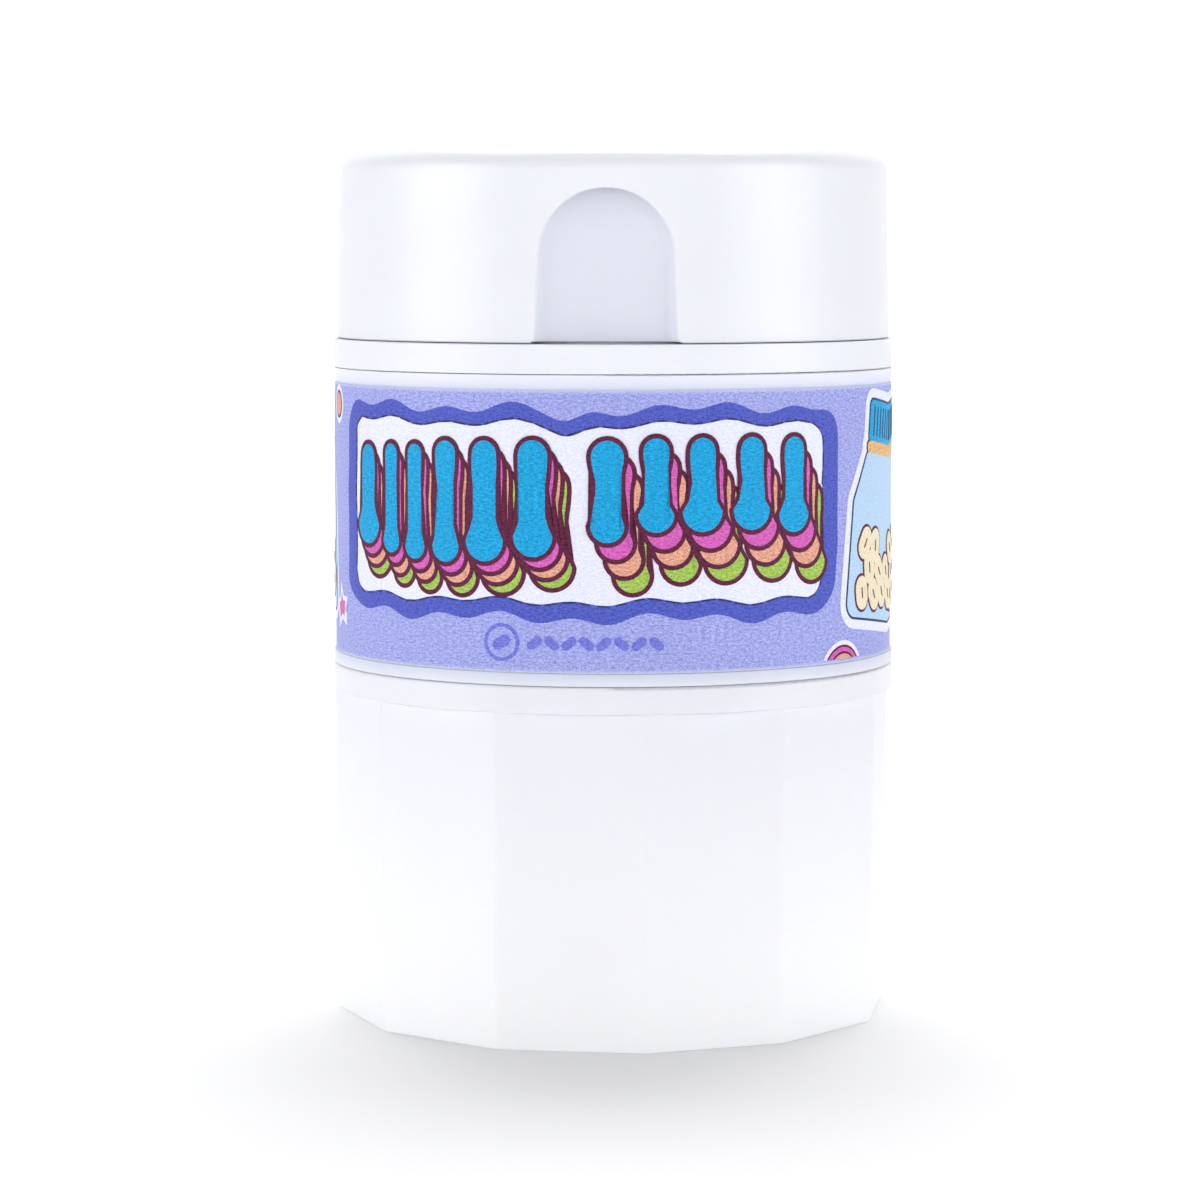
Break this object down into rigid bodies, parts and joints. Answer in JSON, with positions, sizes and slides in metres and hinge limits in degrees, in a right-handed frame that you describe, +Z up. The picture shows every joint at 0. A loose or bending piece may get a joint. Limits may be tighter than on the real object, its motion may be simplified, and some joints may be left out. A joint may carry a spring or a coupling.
{
  "type": "pill crusher",
  "caption": "Stacked round pill crusher: faceted drinking cup, screw crusher, pill store and a V-holder pill cutter under a hinged lid with a thumb recess.",
  "frame": {"origin": "centre of the drinking cup's foot, on the plane that the cup stands on", "axes": "+Z up along the stack's axis, -Y towards the front, where the lid's thumb recess is, and +Y towards the lid's hinge"},
  "size_m": [0.0524, 0.0539, 0.08],
  "materials": {
    "cup_plastic": "smooth white moulded plastic",
    "crusher_plastic": "smooth white moulded plastic",
    "body_plastic": "smooth white moulded plastic",
    "label_print": "printed lavender sleeve with a fine woven grain",
    "store_plastic": "satin white moulded plastic",
    "cutter_plastic": "smooth white moulded plastic",
    "holder_plastic": "satin violet-blue moulded plastic",
    "pad_rubber": "pale soft rubber",
    "seal_rubber": "translucent pale silicone",
    "lid_plastic": "smooth white moulded plastic",
    "clamp_plastic": "satin white moulded plastic",
    "steel": "brushed stainless steel",
    "blade_steel": "ground stainless steel"
  },
  "bodies": {
    "cup": {"drinking_cup": "cup_plastic"},
    "crusher_base_body": {"crusher_base": "crusher_plastic", "cup_seal": "seal_rubber"},
    "crusher_carrier": {"crusher_seal": "seal_rubber"},
    "main_body": {"body_shell": "body_plastic", "label_band": "label_print", "crusher_plunger": "crusher_plastic", "storage_tray": "store_plastic", "storage_divider": "store_plastic"},
    "cutter_carrier": {"cutter_seal": "seal_rubber"},
    "cutter": {"cutter_tray": "cutter_plastic", "pill_holder": "holder_plastic", "grip_pads": "pad_rubber", "holder_screws": "steel", "hinge_pin": "steel"},
    "lid": {"lid_shell": "lid_plastic", "blade_holder": "clamp_plastic", "blade": "blade_steel", "blade_screws": "steel"}
  },
  "joints": [
    {"name": "cup_pull", "type": "slide", "parent": "cup", "child": "crusher_base_body", "axis": [0, 0, 1], "range_m": [0, 0.034]},
    {"name": "crusher_lift", "type": "slide", "parent": "crusher_base_body", "child": "crusher_carrier", "axis": [0, 0, 1], "range_m": [0, 0.0321]},
    {"name": "crusher_turn", "type": "hinge", "parent": "crusher_carrier", "child": "main_body", "pos_m": [0, 0, 0.0329], "axis": [0, 0, 1], "range_deg": [0, 1440]},
    {"name": "cutter_lift", "type": "slide", "parent": "main_body", "child": "cutter_carrier", "axis": [0, 0, 1], "range_m": [0, 0.0161]},
    {"name": "cutter_turn", "type": "hinge", "parent": "cutter_carrier", "child": "cutter", "pos_m": [0, 0, 0.0596], "axis": [0, 0, 1], "range_deg": [0, 720]},
    {"name": "lid_hinge", "type": "hinge", "parent": "cutter", "child": "lid", "pos_m": [0, 0.0256, 0.0644], "axis": [-1, 0, 0], "range_deg": [0, 110]}
  ],
  "couplings": [
    {"joint": "crusher_lift", "follows": "crusher_turn", "m_per_rad": 0.0012732},
    {"joint": "cutter_lift", "follows": "cutter_turn", "m_per_rad": 0.0012732}
  ]
}
